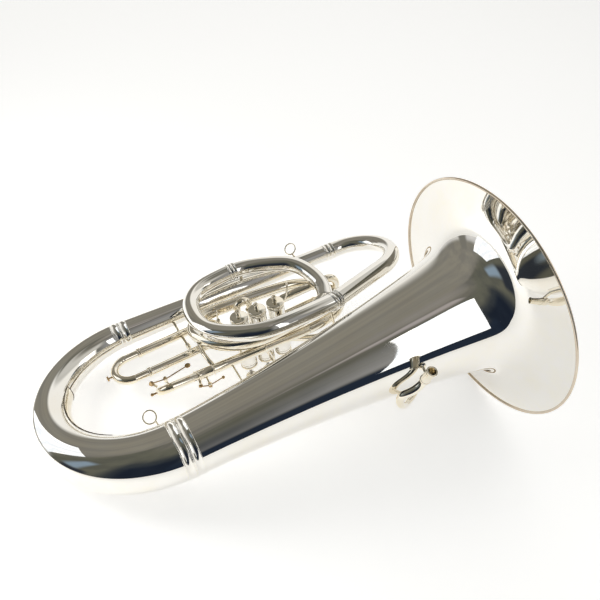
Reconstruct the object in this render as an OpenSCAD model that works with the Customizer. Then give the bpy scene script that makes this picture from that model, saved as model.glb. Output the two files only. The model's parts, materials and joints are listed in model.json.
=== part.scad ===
// Tuba with three front-action piston valves, lying on its valve side.
// The instrument is drawn in its body frame: X runs from the bottom bow to the bell rim,
// Y runs from the bell to the outer branch, Z points to the player's side.
// laid() then turns the whole body so that it rests on the floor plane Z = 0.

/* [Bell] */
// Length of the bell from its collar to the rim
bell_length = 577; // [540:1:600]
// Radius of the bell at the rim wire's outside
rim_r = 225; // [200:1:235]
// Radius of the bell at its collar
throat_r = 48.5; // [44:0.5:52]
// How gently the flare opens, as an exponential length
flare_length = 17; // [12:1:24]
// Thickness of the rim wire
rim_wire_d = 4.8; // [3:0.2:6]
// Thickness of the sheet brass
wall = 0.8; // [0.5:0.1:1.5]

/* [Bottom bow and outer branch] */
// Depth of the bottom bow below the collars, to its centreline
bow_depth = 170; // [160:1:180]
// Distance between the bell axis and the outer branch at the collars
branch_offset = 303.5; // [295:0.5:310]
// Radius of the outer branch at its collar
branch_r = 23.5; // [22:0.5:25]
// Radius of the outer branch at the top bow
top_r = 15.6; // [15:0.1:16.5]
// Thickness of the guard plate on the bow
guard_t = 1.0; // [0.6:0.1:1.5]

/* [Top bow] */
// Bend radius of the top bow's centreline
top_bend_r = 77; // [75:0.5:79]
// Angle that the top bow turns through
top_turn = 163; // [160:1:165]
// Tilt of the top bow out of the body plane
top_tilt = 15.5; // [14:0.5:17]

/* [Valves] */
// Outer radius of a valve casing
casing_r = 15; // [14.5:0.1:15.5]
// Radius of a piston
piston_r = 13.4; // [13:0.1:13.6]
// Radial running clearance of a piston in its casing
piston_clearance = 0.05; // [0.02:0.01:0.08]
// Length of a piston
piston_length = 78; // [70:1:80]
// How far a piston travels
piston_travel = 17; // [15:1:18]
// Radius of a finger button
button_r = 10.5; // [9:0.5:12]

/* [Slides] */
// Outer radius of the valve tubing sleeves
sleeve_r = 7.9; // [7.7:0.1:8.1]
// Outer radius of the inner slide legs
leg_r = 7.0; // [6.8:0.1:7.2]
// Radial running clearance of a slide leg in its sleeve
slide_clearance = 0.06; // [0.02:0.01:0.1]
// Outer radius of the second valve's small sleeves
small_sleeve_r = 6.6; // [6.4:0.1:6.8]
// Outer radius of the second valve's small legs
small_leg_r = 5.8; // [5.6:0.1:5.9]

/* [Mouthpiece receiver] */
// Bore radius of the receiver's mouth
receiver_bore_r = 6.65; // [6.3:0.05:7]
// Length of the receiver's bore
receiver_bore_length = 26; // [22:1:28]

/* [Lie on the floor] */
// Roll of the body about its own X axis
lie_roll = -8.71; // [-12:0.01:0]
// Pitch that lifts the bell end
lie_pitch = -12.24; // [-15:0.01:-10]

/* [Hidden] */

// Outer and bore radius of the slide crooks.
crook_r = leg_r + 0.5;
crook_bore = leg_r - 0.3;

// Place of the body frame's origin once the instrument lies on the floor.
lie_offset = [-207.75, -50.43, 97.55];

silver = [0.86, 0.86, 0.84];
silver_shade = [0.78, 0.78, 0.77];
pale_gold = [0.82, 0.75, 0.6];
felt_red = [0.5, 0.1, 0.1];
cork_tan = [0.7, 0.52, 0.34];
steel = [0.6, 0.6, 0.62];

// Curves are made from these numbers of steps and sides.
bow_steps = 22;
bow_sides = 26;
tube_sides = 16;
thin_sides = 12;
curve_steps = 3;

// Bell profile, as a quadratic cone with an exponential flare at the rim.
cone_slope = 0.0365;
cone_curve = 1.526e-4;
bell_steps = 36;
bell_grading = 1.8;
rim_wire_r = rim_wire_d / 2;
sheet_edge_r = rim_r - rim_wire_d + 0.3;

// Outer branch, a straight taper that leans a little towards the bell.
branch_start = [0, branch_offset, 0];
branch_knee = [340, branch_offset - 9.1, -7.9];
branch_end = [430, branch_offset - 11.5, -10];
branch_knee_r = 16.2;

// Centrelines of the two turns of the loop, listed by hand from the collar inwards.
upper_loop_path = [
    [342, 111, 40], [300, 106, 45], [250, 104, 49], [200, 108, 51], [157, 133, 49], [122, 178, 46],
    [124, 245, 43], [152, 282, 41], [189, 294, 39], [248, 298, 36], [301, 279, 33], [336, 256, 30],
    [353, 220, 24], [357, 182, 16], [345, 154, 13]
];
upper_loop_radii = [15.3, 14.2];
lower_loop_path = [
    [345, 154, 13], [315, 138, 13], [265, 132, 14], [205, 130, 14], [155, 147, 13], [122, 182, 12],
    [112, 222, 11], [138, 252, 6], [194, 256, 0], [265, 257, -7], [330, 250, -13], [374, 226, -21],
    [384, 185, -23], [368, 146, -16], [330, 125, -9], [290, 122.5, -8]
];
lower_loop_radii = [14, 8.6];

// Leadpipe, from its collar under the bell to the receiver.
leadpipe_path = [
    [345, 93, -2], [417, 104, 0], [468, 118, -2], [498, 121, -32], [494, 95, -80], [470, 40, -112],
    [420, -20, -110], [366, -64, -80], [341, -85, -45], [339, -89, -20], [354, -97, -12],
    [369, -101, -3], [377, -103.5, 9]
];
leadpipe_radii = [6.3, 7];
receiver_mouth = [382, -115.5, 36];
receiver_dir = [0.17, -0.4, 0.9];

// Main tuning slide: the upper leg's start, the pull direction and the offset to the lower leg.
main_start = [80, 134, -8];
main_pull = [-1, 0.0548, 0];
main_cross = [0, 32, -30];
main_leg_out = 45;
main_leg_in = 54;
main_upper_length = 210.3;
main_lower_length = 60;

// Third valve slide: two legs that point to the bottom bow.
third_y = [199, 255];
third_z = -15;
third_sleeve_x = [12, 138];
third_crook_x = -12;
third_leg_in = 70;

// Second valve slide: a short crook that points to the player.
second_x = [194.5, 217.5];
second_y = 203;
second_sleeve_z = [-8, 22];
second_crook_z = 33;
second_leg_in = 26;

// First valve slide: two legs that point to the bell, one above the other.
first_y = 214;
first_z = [-1, -41];
first_sleeve_x = [285, 352];
first_crook_x = 380;
first_leg_in = 55;

// Valves, counted from the bell end.
valve_xy = [[252, 164], [217.5, 166], [183, 168]];
casing_top = -68;
casing_bottom = 43;
cap_r = 15.6;
cap_depth = 4.5;
nub_r = 3.6;
nub_height = 12;
stem_r = 3;
stem_length = piston_travel + 19;
felt_t = 3;
piston_top = casing_top + felt_t;
port_r = 5.5;
port_depth = 14.1;

// Leadpipe's tail, from its collar into the first valve.
leadpipe_tail_path = [
    [345, 93, -2], [328, 102, -16], [300, 119, -32], port_point(0, -48, -36, 26),
    port_point(0, -48, -36, port_depth)
];

spring_r = 8;
spring_wire = 1.4;
spring_pocket = 20;
button_t = 4;

// Small hardware.
strap_ring_r = 11;
strap_wire_r = 1.3;
lower_ring_centre = [-24, 89, 0];
lower_ring_axis = [-0.3, -0.62, 0.72];
upper_ring_centre = [359, 311, 20];
upper_ring_axis = [-0.55, -0.3, 0.78];
thumb_ring_centre = [217.5, 138.6, -45];
thumb_ring_r = 11.5;
thumb_wire_r = 1.8;
key_pivot = [27, 143, 9];
key_axis = [0.1, 1, 0];
key_pad = [6, 157, -3];
sleeve_key_pivot = [92, 118, -24];
sleeve_nipple = [[79, 128.5, -13.5], [77.4, 124.4, -20]];

// ---------- helpers ----------

// A point beside valve i, in direction a at height z and distance d from the valve's axis.
function port_point(i, a, z, d) = [valve_xy[i][0] + d * cos(a), valve_xy[i][1] + d * sin(a), z];

// The straight last stretch of a pipe that enters valve i.
function entry(i, a, z) = [port_point(i, a, z, 26), port_point(i, a, z, port_depth)];

function unit(a) = a / norm(a);
function lerp(a, b, t) = a + (b - a) * t;

// One point of the smooth curve between b and c.
function blend(a, b, c, d, t) =
    0.5 * (2 * b + (c - a) * t + (2 * a - 5 * b + 4 * c - d) * t * t
    + (3 * b - a - 3 * c + d) * t * t * t);

// Smooth curve through all points of a route, with n steps between neighbours.
function smooth_route(p, n = curve_steps) =
    let (last = len(p) - 1)
    concat(
        [for (i = [0 : last - 1])
            let (a = i > 0 ? p[i - 1] : 2 * p[0] - p[1])
            let (d = i < last - 1 ? p[i + 2] : 2 * p[last] - p[last - 1])
            for (k = [0 : n - 1]) blend(a, p[i], p[i + 1], d, k / n)],
        [p[last]]
    );

// Directions along a route.
function headings(p) =
    let (last = len(p) - 1)
    [for (i = [0 : last]) unit(p[min(i + 1, last)] - p[max(i - 1, 0)])];

// A side vector at each point of a route, carried along without twist.
function sides(h, first) = [
    for (i = 0, s = unit(first - (first * h[0]) * h[0]); i < len(h);
        i = i + 1, s = i < len(h) ? unit(s - (s * h[i]) * h[i]) : s) s
];

// Radii that change evenly from the first to the last point of a route.
function even_radii(p, ends) = [for (i = [0 : len(p) - 1]) lerp(ends[0], ends[1], i / (len(p) - 1))];

// Hollow tube along a route.
module tube(p, radii, thickness, n, up = [0, 0, 1]) {
    h = headings(p);
    s = sides(h, up);
    rings = len(p);
    inside = rings * n;
    points = [
        for (shell = [0, 1]) for (i = [0 : rings - 1]) for (j = [0 : n - 1])
            let (a = 360 * j / n, r = radii[i] - shell * thickness)
            p[i] + r * (cos(a) * s[i] + sin(a) * cross(h[i], s[i]))
    ];
    walls = [
        for (i = [0 : rings - 2]) for (j = [0 : n - 1])
            let (a = i * n + j, b = i * n + (j + 1) % n, c = b + n, d = a + n)
            each [
                [a, d, c], [a, c, b],
                [inside + a, inside + c, inside + d], [inside + a, inside + b, inside + c]
            ]
    ];
    ends = [
        for (j = [0 : n - 1])
            let (a = j, b = (j + 1) % n, c = (rings - 1) * n + j, d = (rings - 1) * n + (j + 1) % n)
            each [
                [a, b, inside + b], [a, inside + b, inside + a],
                [c, inside + d, d], [c, inside + c, inside + d]
            ]
    ];
    polyhedron(points, concat(walls, ends), convexity = 8);
}

// Turns the Z axis of its children to a direction d and moves them to p.
module facing(p, d) {
    translate(p)
        rotate([0, acos(d[2] / norm(d)), atan2(d[1], d[0])])
            children();
}

// Round bar between two points.
module bar(a, b, r) {
    facing(a, b - a)
        cylinder(h = norm(b - a), r = r, $fn = 32);
}

// Straight pipe between two points.
module pipe(a, b, r, bore) {
    facing(a, b - a)
        difference() {
            cylinder(h = norm(b - a), r = r, $fn = 48);
            translate([0, 0, -1])
                cylinder(h = norm(b - a) + 2, r = bore, $fn = 48);
        }
}

// Sleeve with raised beads, centred on the origin along Z.
module beaded_collar(bore, length, thickness, beads, bead_r) {
    rotate_extrude($fn = 72) {
        translate([bore, -length / 2])
            square([thickness, length]);
        for (z = beads)
            translate([bore + thickness, z])
                circle(r = bead_r, $fn = 24);
    }
}

// Ring of round wire.
module wire_ring(r, wire) {
    rotate_extrude($fn = 72)
        translate([r, 0])
            circle(r = wire, $fn = 24);
}

// Half turn of pipe in the XZ plane, opening towards -Z, with its legs at X = -r and X = r.
module half_turn(bend, r, bore) {
    rotate([90, 0, 0])
        rotate_extrude(angle = 180, $fn = 72)
            translate([bend, 0])
                difference() {
                    circle(r = r, $fn = 40);
                    circle(r = bore, $fn = 40);
                }
}

// Rests the body on the floor.
module laid() {
    translate(lie_offset)
        rotate([lie_roll, lie_pitch, 0])
            children();
}

// ---------- bell, bows and branches ----------

function cone_radius(x) = throat_r + cone_slope * x + cone_curve * x * x;
function bell_radius(x) =
    cone_radius(x) + (sheet_edge_r - cone_radius(bell_length)) * exp((x - bell_length) / flare_length);
bell_x = [for (i = [0 : bell_steps]) bell_length * (1 - pow(1 - i / bell_steps, bell_grading))];

module bell() {
    outside = [for (x = bell_x) [bell_radius(x), x]];
    inside = [
        for (i = [bell_steps : -1 : 0])
            [bell_radius(bell_x[i]) - wall * 1.3, bell_x[i] + (i > 0 ? wall * 0.4 : 0)]
    ];
    color(silver)
        rotate([0, 90, 0])
            rotate_extrude($fn = 120)
                polygon(concat(outside, inside));
}

module bell_rim() {
    color(pale_gold)
        translate([bell_length, 0, 0])
            rotate([0, 90, 0])
                wire_ring(rim_r - rim_wire_r, rim_wire_r);
}

module bell_collar() {
    color(silver_shade)
        rotate([0, 90, 0])
            beaded_collar(throat_r - 0.2, 30, 1.2, [-14, -1.6, 1.6, 14], 1.1);
}

bow_angles = [for (i = [0 : bow_steps]) 180 * i / bow_steps];
bow_path = [for (a = bow_angles) [-bow_depth * sin(a), branch_offset / 2 * (1 - cos(a)), 0]];
bow_radii = [for (a = bow_angles) throat_r * pow(branch_r / throat_r, pow(a / 180, 1.4))];

module bottom_bow() {
    color(silver)
        tube(bow_path, bow_radii, wall, bow_sides);
}

// Plate that wraps the part of the bow which meets the floor, one strip for each step along it.
module bow_guard() {
    first = 5;
    last = 15;
    n = 8;
    from = 60;
    to = 160;
    h = headings(bow_path);
    rings = last - first + 1;
    row = n + 1;
    inside = rings * row;
    points = [
        for (shell = [0, 1]) for (i = [first : last]) for (j = [0 : n])
            let (a = lerp(from, to, j / n), r = bow_radii[i] + (1 - shell) * guard_t)
            bow_path[i] + r * (cos(a) * [0, 0, 1] - sin(a) * cross(h[i], [0, 0, -1]))
    ];
    walls = [
        for (i = [0 : rings - 2]) for (j = [0 : n - 1])
            let (a = i * row + j, b = a + 1, c = b + row, d = a + row)
            each [
                [a, d, c], [a, c, b],
                [inside + a, inside + c, inside + d], [inside + a, inside + b, inside + c]
            ]
    ];
    long_edges = [
        for (i = [0 : rings - 2])
            let (a = i * row, d = a + row, b = a + n, c = b + row)
            each [
                [a, inside + d, d], [a, inside + a, inside + d],
                [b, c, inside + c], [b, inside + c, inside + b]
            ]
    ];
    short_edges = [
        for (j = [0 : n - 1])
            let (a = j, b = j + 1, c = (rings - 1) * row + j, d = c + 1)
            each [
                [a, b, inside + b], [a, inside + b, inside + a],
                [c, inside + d, d], [c, inside + c, inside + d]
            ]
    ];
    color(silver_shade)
        polyhedron(points, concat(walls, long_edges, short_edges), convexity = 8);
}

branch_dir = unit(branch_end - branch_start);

module branch_collar() {
    color(silver_shade)
        facing(branch_start, branch_dir)
            beaded_collar(branch_r - 0.3, 30, 1.2, [-14, -1.6, 1.6, 14], 1.0);
}

module outer_branch() {
    a = norm(branch_knee - branch_start);
    b = norm(branch_end - branch_knee);
    color(silver)
        facing(branch_start, branch_dir)
            rotate_extrude($fn = 72)
                polygon([
                    [branch_r, 0], [branch_knee_r, a], [top_r, a + b],
                    [top_r - wall, a + b], [branch_knee_r - wall, a], [branch_r - wall, 0]
                ]);
}

module top_bow_collar() {
    color(silver_shade)
        facing(branch_end, branch_dir)
            beaded_collar(top_r - 0.2, 20, 1.0, [-9, 0, 9], 0.9);
}

// The top bow turns in a tilted plane and then runs straight to the loop's collar.
top_across = [0, -cos(top_tilt), sin(top_tilt)];
function top_point(a) = branch_end + top_bend_r * (sin(a) * [1, 0, 0] + (1 - cos(a)) * top_across)
    + [10 * min(a / 20, 1), 0, 0];
top_arc = [for (i = [0 : 16]) top_point(top_turn * i / 16)];
top_path = concat(
    [branch_end], [for (i = [1 : 16]) top_arc[i]],
    [lerp(top_arc[16], upper_loop_path[0], 0.5), upper_loop_path[0]]
);

module top_bow() {
    color(silver)
        tube(top_path, even_radii(top_path, [top_r, upper_loop_radii[0]]), wall, tube_sides);
}

upper_route = smooth_route(upper_loop_path);
lower_route = smooth_route(lower_loop_path);

module loop_collar() {
    color(silver_shade)
        facing(upper_loop_path[0], upper_loop_path[1] - top_arc[16])
            beaded_collar(upper_loop_radii[0] - 0.2, 18, 1.0, [-8, -2, 8], 0.9);
}

module upper_loop() {
    color(silver)
        tube(upper_route, even_radii(upper_route, upper_loop_radii), wall, tube_sides);
}

module loop_joint_collar() {
    i = 9 * curve_steps - 1;
    color(silver_shade)
        facing(upper_route[i], headings(upper_route)[i])
            beaded_collar(14.4, 16, 1.1, [-7, 0, 7], 0.9);
}

module lower_loop() {
    color(silver)
        tube(lower_route, even_radii(lower_route, lower_loop_radii), wall, tube_sides - 2);
}

// ---------- slides ----------

main_dir = unit(main_pull);

module main_slide_upper_sleeve() {
    color(silver) {
        pipe(main_start, main_start - main_upper_length * main_dir, sleeve_r + 0.6, leg_r + slide_clearance);
        for (d = [1, 27.5, 125])
            facing(main_start - d * main_dir, main_dir)
                beaded_collar(sleeve_r + 0.4, 3, 0.9, [0], 1.0);
    }
}

module main_slide_lower_sleeve() {
    start = main_start + main_cross;
    color(silver) {
        pipe(start, start - main_lower_length * main_dir, sleeve_r, leg_r + slide_clearance);
        facing(start - main_dir, main_dir)
            beaded_collar(sleeve_r - 0.2, 3, 0.9, [0], 1.0);
    }
}

module main_tuning_slide() {
    color(silver)
        for (k = [0, 1]) {
            start = main_start + k * main_cross;
            pipe(start + (main_leg_out + 1) * main_dir, start - main_leg_in * main_dir, leg_r, leg_r - 0.6);
        }
    color(silver)
        multmatrix(main_crook_frame())
            half_turn(norm(main_cross) / 2, crook_r, crook_bore);
}

// Frame of the crook: X across the legs, Z along the pull.
function main_crook_frame() =
    let (x = unit(main_cross - (main_cross * main_dir) * main_dir), z = main_dir, y = cross(z, x))
    let (c = main_start + main_cross / 2 + main_leg_out * main_dir)
    [[x[0], y[0], z[0], c[0]], [x[1], y[1], z[1], c[1]], [x[2], y[2], z[2], c[2]], [0, 0, 0, 1]];

module main_slide_knob() {
    tip = main_start + main_cross / 2 + (main_leg_out + norm(main_cross) / 2 + leg_r) * main_dir;
    color(silver_shade) {
        bar(tip - 0.2 * main_dir, tip + 6 * main_dir, 1.8);
        facing(tip + 7 * main_dir, main_dir)
            sphere(r = 3, $fn = 32);
    }
}

module third_slide_sleeves() {
    color(silver)
        for (y = third_y) {
            pipe([third_sleeve_x[0], y, third_z], [third_sleeve_x[1], y, third_z],
                sleeve_r, leg_r + slide_clearance);
            translate([third_sleeve_x[0] + 2, y, third_z])
                rotate([0, 90, 0])
                    beaded_collar(sleeve_r - 0.1, 6, 0.8, [-2, 2], 0.9);
        }
}

module third_slide() {
    middle = (third_y[0] + third_y[1]) / 2;
    color(silver)
        for (y = third_y)
            pipe([third_crook_x - 1, y, third_z], [third_sleeve_x[0] + third_leg_in, y, third_z],
                leg_r, leg_r - 0.6);
    color(silver)
        translate([third_crook_x, middle, third_z])
            rotate([0, -90, 0])
                rotate([0, 0, 90])
                    half_turn((third_y[1] - third_y[0]) / 2, crook_r, crook_bore);
}

module third_slide_knob() {
    middle = (third_y[0] + third_y[1]) / 2;
    x = third_crook_x - (third_y[1] - third_y[0]) / 2 - leg_r;
    color(silver_shade) {
        bar([x + 0.2, middle, third_z], [x - 6, middle, third_z], 1.6);
        bar([x - 7, middle - 5, third_z], [x - 7, middle + 5, third_z], 1.8);
    }
}

module second_slide_sleeves() {
    color(silver)
        for (x = second_x) {
            pipe([x, second_y, second_sleeve_z[0]], [x, second_y, second_sleeve_z[1]],
                small_sleeve_r, small_leg_r + slide_clearance);
            translate([x, second_y, second_sleeve_z[1] - 2])
                beaded_collar(small_sleeve_r - 0.1, 4, 0.7, [0], 0.9);
        }
}

module second_slide() {
    middle = (second_x[0] + second_x[1]) / 2;
    color(silver)
        for (x = second_x)
            pipe([x, second_y, second_sleeve_z[1] - second_leg_in], [x, second_y, second_crook_z + 1],
                small_leg_r, small_leg_r - 0.6);
    color(silver)
        translate([middle, second_y, second_crook_z])
            half_turn((second_x[1] - second_x[0]) / 2, small_leg_r + 0.5, small_leg_r - 0.3);
}

module first_slide_sleeves() {
    color(silver)
        for (z = first_z) {
            pipe([first_sleeve_x[0], first_y, z], [first_sleeve_x[1], first_y, z],
                sleeve_r, leg_r + slide_clearance);
            translate([first_sleeve_x[1] - 2, first_y, z])
                rotate([0, 90, 0])
                    beaded_collar(sleeve_r - 0.1, 4, 0.8, [0], 0.9);
        }
}

module first_slide() {
    middle = (first_z[0] + first_z[1]) / 2;
    color(silver)
        for (z = first_z)
            pipe([first_sleeve_x[1] - first_leg_in, first_y, z], [first_crook_x + 1, first_y, z],
                leg_r, leg_r - 0.6);
    color(silver)
        translate([first_crook_x, first_y, middle])
            rotate([0, 90, 0])
                half_turn((first_z[0] - first_z[1]) / 2, crook_r, crook_bore);
}

// ---------- valves ----------

module valve_casing(i) {
    color(silver)
        translate([valve_xy[i][0], valve_xy[i][1], casing_top])
            difference() {
                union() {
                    cylinder(h = casing_bottom - casing_top, r = casing_r, $fn = 72);
                    for (z = [3, casing_bottom - casing_top - 6])
                        translate([0, 0, z])
                            cylinder(h = 3, r = casing_r + 0.6, $fn = 72);
                }
                translate([0, 0, -1])
                    cylinder(h = casing_bottom - casing_top + 2, r = piston_r + piston_clearance, $fn = 72);
            }
}

module bottom_cap(i) {
    color(silver)
        translate([valve_xy[i][0], valve_xy[i][1], casing_bottom])
            difference() {
                union() {
                    cylinder(h = cap_depth - 1, r = cap_r, $fn = 72);
                    translate([0, 0, cap_depth - 1])
                        cylinder(h = 1, r1 = cap_r, r2 = cap_r - 1.4, $fn = 72);
                    cylinder(h = cap_depth + nub_height, r = nub_r, $fn = 40);
                    translate([0, 0, cap_depth + nub_height - 2.5])
                        cylinder(h = 2.5, r = nub_r + 0.7, $fn = 40);
                }
                translate([0, 0, cap_depth + nub_height - 6])
                    cylinder(h = 7, r = 1.5, $fn = 32);
                translate([0, 0, -1])
                    cylinder(h = 2.5, r = piston_r - 1, $fn = 72);
            }
}

module top_cap(i) {
    color(silver)
        translate([valve_xy[i][0], valve_xy[i][1], casing_top - cap_depth])
            difference() {
                union() {
                    cylinder(h = 1, r1 = cap_r - 1.4, r2 = cap_r, $fn = 72);
                    translate([0, 0, 1])
                        cylinder(h = cap_depth - 1, r = cap_r, $fn = 72);
                    translate([0, 0, -3])
                        cylinder(h = 4, r = 6.5, $fn = 48);
                }
                translate([0, 0, -4])
                    cylinder(h = cap_depth + 5, r = stem_r + 0.08, $fn = 48);
            }
}

module piston(i) {
    color(steel)
        translate([valve_xy[i][0], valve_xy[i][1], piston_top])
            difference() {
                union() {
                    piston_shell();
                    intersection() {
                        piston_ports(port_r + wall);
                        cylinder(h = piston_length, r = piston_r, $fn = 72);
                    }
                    translate([0, 0, -stem_length])
                        cylinder(h = stem_length + 1, r = stem_r, $fn = 40);
                }
                piston_ports(port_r);
            }
}

// Piston body: a tube closed by its top plate and by the floor of the spring pocket.
module piston_shell() {
    shell = 1.2;
    difference() {
        cylinder(h = piston_length, r = piston_r, $fn = 72);
        translate([0, 0, piston_length - spring_pocket])
            cylinder(h = spring_pocket + 1, r = spring_r + 1, $fn = 56);
        translate([0, 0, 3])
            cylinder(h = piston_length - spring_pocket - 5, r = piston_r - shell, $fn = 72);
    }
}

// The three passages through a piston, each turned from the last.
module piston_ports(r) {
    for (k = [0 : 2])
        translate([0, 0, 11 + 16 * k])
            rotate([0, 90, 35 + 55 * k])
                cylinder(h = 40, r = r, center = true, $fn = 40);
}

module finger_button(i) {
    color(silver)
        translate([valve_xy[i][0], valve_xy[i][1], piston_top - stem_length])
            union() {
                translate([0, 0, -button_t])
                    cylinder(h = 1, r1 = button_r - 1, r2 = button_r, $fn = 64);
                translate([0, 0, 1 - button_t])
                    cylinder(h = button_t - 1.5, r = button_r, $fn = 64);
                translate([0, 0, -0.5])
                    cylinder(h = 0.5, r = 4.5, $fn = 40);
            }
}

module valve_spring(i) {
    start = piston_top + piston_length - spring_pocket;
    color(steel)
        pipe([valve_xy[i][0], valve_xy[i][1], start], [valve_xy[i][0], valve_xy[i][1], casing_bottom + 1.5],
            spring_r, spring_r - spring_wire);
}

module valve_felts() {
    color(felt_red)
        for (p = valve_xy)
            pipe([p[0], p[1], casing_top], [p[0], p[1], piston_top], piston_r - 1, stem_r + 0.6);
}

module valve_knuckles() {
    small = small_sleeve_r;
    color(silver) {
        for (i = [0, 1]) {
            across = unit(valve_xy[i + 1] - valve_xy[i]) * port_depth;
            a = valve_xy[i] + across;
            b = valve_xy[i + 1] - across;
            z = -30 - 12 * i;
            pipe([a[0], a[1], z], [b[0], b[1], z], small, small - wall);
        }
        bend(concat([[third_sleeve_x[1], third_y[0], third_z], [151, 196, -15]], entry(2, 152, -15)));
        bend(concat(
            [[third_sleeve_x[1], third_y[1], third_z], [156, 252, -19], [170, 236, -27], [175, 213, -32]],
            entry(2, 108, -33)));
        bend(concat([[first_sleeve_x[0], first_y, first_z[0]], [272, 211, -3], [262, 199, -6]],
            entry(0, 75, -8)));
        bend(concat([[first_sleeve_x[0], first_y, first_z[1]], [272, 211, -43], [262, 199, -47]],
            entry(0, 75, -49)));
        bend(concat(
            [main_start + main_cross - main_lower_length * main_dir, [146, 162.4, -38.8], [152, 163, -42]],
            entry(2, 187, -46)));
        bend(concat([[second_x[0], second_y, second_sleeve_z[0]], [195, 202, -15], [198, 199, -21]],
            entry(1, 118, -23)), small);
        bend(concat([[second_x[1], second_y, second_sleeve_z[0]], [217.5, 203, -30], [217.5, 199, -42]],
            entry(1, 90, -47)), small);
    }
}

// Short curved pipe from a sleeve into a casing.
module bend(p, r = sleeve_r) {
    q = smooth_route(p);
    tube(q, even_radii(q, [r, port_r + wall]), wall, thin_sides, [0, 0.3, 1]);
}

// ---------- leadpipe and receiver ----------

lead_route = smooth_route(leadpipe_path);
tail_route = smooth_route(leadpipe_tail_path);

module leadpipe() {
    color(silver) {
        tube(lead_route, even_radii(lead_route, leadpipe_radii), wall, thin_sides);
        tube(tail_route, even_radii(tail_route, [leadpipe_radii[0], leadpipe_radii[0]]), wall, thin_sides);
    }
}

module leadpipe_collar() {
    color(silver_shade)
        facing(leadpipe_path[0], leadpipe_path[1] - leadpipe_tail_path[1])
            beaded_collar(leadpipe_radii[0] - 0.2, 16, 0.9, [-7, 0, 7], 0.8);
}

module mouthpiece_receiver() {
    d = unit(receiver_dir);
    length = 32;
    color(silver)
        facing(receiver_mouth, -d)
            difference() {
                union() {
                    cylinder(h = length, r = 8.4, $fn = 64);
                    cylinder(h = 3, r = 9.2, $fn = 64);
                    translate([0, 0, length - 4])
                        cylinder(h = 4, r = 9, $fn = 64);
                }
                translate([0, 0, -1])
                    cylinder(h = receiver_bore_length + 1, r = receiver_bore_r, $fn = 64);
                translate([0, 0, receiver_bore_length - 1])
                    cylinder(h = length, r = receiver_bore_r - 1, $fn = 64);
            }
}

module receiver_brace() {
    foot = [386, -83.9, 17];
    color(silver_shade) {
        bar(foot, [383, -98, 14], 2.4);
        facing(foot, [0, -1, 0.2])
            cylinder(h = 1.6, r = 6, $fn = 40);
    }
}

// ---------- stays, rings and keys ----------

module body_stays() {
    strut = smooth_route([[110, 139, -3], [107, 150, 2], [106, 168, 4], [109, 189, 2], [114, 209, 0]]);
    color(silver_shade) {
        bar([140, 123, -11.5], [140, 49.9, -31.1], 1.8);
        facing([140, 47.8, -29.8], [0, 0.85, -0.53])
            cylinder(h = 3, r = 5, $fn = 40);
        bar([245, 297.5, 12], [245, 298, 22.5], 3);
        bar([95, 262.5, -15], [95, 280.6, -9], 2.5);
        bar([95, 206.5, -15], [95, 247.5, -15], 2.5);
        facing([95, 214, -15], [0, 1, 0])
            cylinder(h = 9, r = 4.5, $fn = 32);
        bar([110, 140.2, -9], [112, 191.8, -15], 2.5);
        tube(strut, [for (p = strut) 4], 1, thin_sides, [0, 0, 1]);
        bar([330, 106, 26.8], [331, 101.5, -8.5], 2.2);
    }
}

module valve_stays() {
    left = smooth_route([[166, 250, 14], [166, 238, 20], [161, 218, 30], [155, 200, 36], [152, 187, 39]]);
    right = smooth_route([
        [310, 248, -1], [311, 242, 6], [306, 228, 18], [297, 206, 31], [286, 185, 38], [275, 170, 39],
        [266.4, 165, 39]
    ]);
    color(silver_shade) {
        for (q = [left, right])
            tube(q, even_radii(q, [1.7, 1.7]), 0.9, 8);
        bar([152, 187.5, 39.3], [136.2, 181, 44.5], 1.4);
        difference() {
            facing([152, 187, 36.5], [0, -0.1, 1])
                cylinder(h = 6, r = 3.2, $fn = 40);
            facing([152, 187, 36.5], [0, -0.1, 1])
                translate([0, 0, 3.6])
                    cylinder(h = 4, r = 1.5, $fn = 32);
        }
    }
}

module thumb_ring() {
    color(silver_shade)
        translate(thumb_ring_centre)
            rotate([0, 90, 0])
                wire_ring(thumb_ring_r, thumb_wire_r);
}

// Ring on a short post.
module strap_ring(centre, axis, post_end) {
    facing(centre, axis)
        wire_ring(strap_ring_r, strap_wire_r);
    reach = post_end - centre;
    n = unit(axis);
    flat = unit(reach - (reach * n) * n);
    bar(centre + (strap_ring_r + 0.6) * flat, post_end, 1.6);
}

module lower_strap_ring() {
    color(silver_shade)
        strap_ring(lower_ring_centre, lower_ring_axis, [-18, 49, 8]);
}

module upper_strap_ring() {
    color(silver_shade)
        strap_ring(upper_ring_centre, upper_ring_axis, [362, 300, 5.5]);
}

// Place on the crook's wall from which the water nipple rises to the key's pad.
crook_middle = main_start + main_cross / 2 + main_leg_out * main_dir;
crook_spoke = unit([-30, 10, 6]);
crook_seat = crook_middle + norm(main_cross) / 2 * crook_spoke
    + crook_r * 0.93 * unit(key_pad - crook_middle - norm(main_cross) / 2 * crook_spoke);

module main_water_key_saddle() {
    p = main_start + 51 * main_dir;
    color(silver_shade) {
        difference() {
            union() {
                bar(p + [0, 2, leg_r - 0.5], key_pivot - [0, 0, 3.2], 1.8);
                facing(key_pivot - 4.2 * unit(key_axis), key_axis)
                    cylinder(h = 8.4, r = 3.2, $fn = 32);
            }
            facing(key_pivot - 2.6 * unit(key_axis), key_axis)
                cylinder(h = 5.2, r = 4.2, $fn = 32);
        }
        bar(key_pivot - 4.2 * unit(key_axis), key_pivot + 4.2 * unit(key_axis), 0.9);
        pipe(crook_seat, key_pad - 0.1 * unit(key_pad - crook_seat), 2.6, 1.2);
    }
}

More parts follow.
